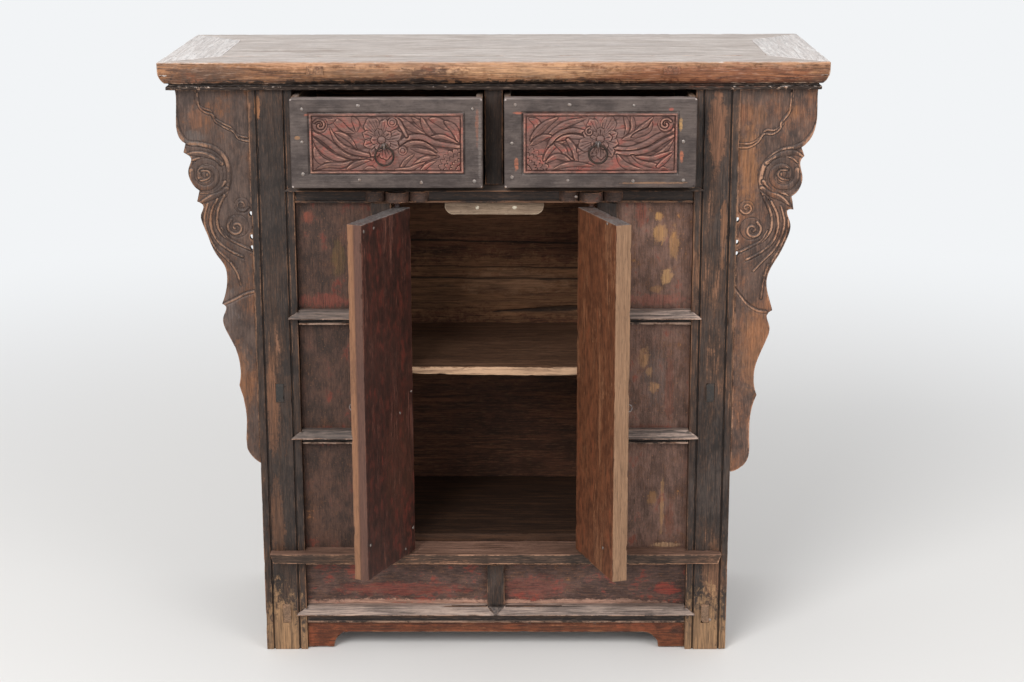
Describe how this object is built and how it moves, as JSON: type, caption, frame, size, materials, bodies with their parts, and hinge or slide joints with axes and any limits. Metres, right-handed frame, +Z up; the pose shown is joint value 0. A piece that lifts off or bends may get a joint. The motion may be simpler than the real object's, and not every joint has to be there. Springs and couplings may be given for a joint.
{
  "type": "kang cabinet",
  "caption": "Low East Asian lacquered cabinet with overhanging moulded top, carved ears, twin carved drawers with ring pulls and pivot-hung plank doors standing open on a shelved inside.",
  "frame": {"origin": "on the floor, under the middle of the piece's whole box with its doors open as stored", "axes": "+X to the right seen from the front, +Y from the doors to the back, +Z up"},
  "size_m": [1, 0.5166, 0.946],
  "materials": {
    "lacquer": "worn black lacquer over elm",
    "bleached_top": "bare, sun-bleached elm, scrubbed",
    "bare_wood": "unlacquered, darkened with age",
    "red_brown_lacquer": "thin red-brown lacquer, rubbed",
    "door_wood": "red-brown paint, bare edges",
    "new_wood": "plain newer softwood",
    "iron": "hand-forged, dark patina"
  },
  "bodies": {
    "case": {"top_rail_front": "bleached_top", "top_rail_back": "bleached_top", "top_end_left": "bleached_top", "top_end_right": "bleached_top", "top_panel": "bleached_top", "top_batten_left": "bare_wood", "top_batten_right": "bare_wood", "post_front_left": "lacquer", "post_front_right": "lacquer", "post_back_left": "lacquer", "post_back_right": "lacquer", "rail_drawer": "lacquer", "rail_sill": "lacquer", "rail_lower": "lacquer", "apron": "red_brown_lacquer", "divider": "lacquer", "muntin_lower": "lacquer", "stile_left": "lacquer", "stile_right": "lacquer", "rail_middle_upper_left": "lacquer", "rail_middle_upper_right": "lacquer", "rail_middle_lower_left": "lacquer", "rail_middle_lower_right": "lacquer", "panel_front_left": "red_brown_lacquer", "panel_front_right": "red_brown_lacquer", "panel_lower": "red_brown_lacquer", "side_panel_left": "red_brown_lacquer", "side_panel_right": "red_brown_lacquer", "side_rail_middle_left": "bare_wood", "side_rail_middle_right": "bare_wood", "side_rail_low_left": "bare_wood", "side_rail_low_right": "bare_wood", "back_board": "bare_wood", "rail_back_low": "bare_wood", "floor_board": "bare_wood", "shelf_board": "bare_wood", "drawer_bed": "bare_wood", "pivot_block_left": "red_brown_lacquer", "pivot_block_right": "red_brown_lacquer", "stop_board": "new_wood", "ear_left": "lacquer", "ear_right": "lacquer"},
    "door_left": {"door_left": "door_wood", "door_left_staple": "iron"},
    "door_right": {"door_right": "door_wood", "door_right_staple": "iron"},
    "drawer_left": {"drawer_left_front": "lacquer", "drawer_left_side_left": "bare_wood", "drawer_left_side_right": "bare_wood", "drawer_left_back": "bare_wood", "drawer_left_bottom": "bare_wood", "drawer_left_eye": "iron"},
    "ring_left": {"drawer_left_ring": "iron"},
    "drawer_right": {"drawer_right_front": "lacquer", "drawer_right_side_left": "bare_wood", "drawer_right_side_right": "bare_wood", "drawer_right_back": "bare_wood", "drawer_right_bottom": "bare_wood", "drawer_right_eye": "iron"},
    "ring_right": {"drawer_right_ring": "iron"}
  },
  "joints": [
    {"name": "door_left_hinge", "type": "hinge", "parent": "case", "child": "door_left", "pos_m": [-0.147, -0.11465, 0.45], "axis": [0, 0, -1], "range_deg": [-115, 45]},
    {"name": "door_right_hinge", "type": "hinge", "parent": "case", "child": "door_right", "pos_m": [0.147, -0.11465, 0.45], "axis": [0, 0, 1], "range_deg": [-110, 50]},
    {"name": "drawer_left_slide", "type": "slide", "parent": "case", "child": "drawer_left", "axis": [0, -1, 0], "range_m": [-0.05, 0.17]},
    {"name": "ring_left_swing", "type": "hinge", "parent": "drawer_left", "child": "ring_left", "pos_m": [-0.1613, -0.16985, 0.8254], "axis": [-1, 0, 0], "range_deg": [-5, 95]},
    {"name": "drawer_right_slide", "type": "slide", "parent": "case", "child": "drawer_right", "axis": [0, -1, 0], "range_m": [-0.05, 0.17]},
    {"name": "ring_right_swing", "type": "hinge", "parent": "drawer_right", "child": "ring_right", "pos_m": [0.155, -0.16985, 0.8281], "axis": [-1, 0, 0], "range_deg": [-5, 95]}
  ]
}
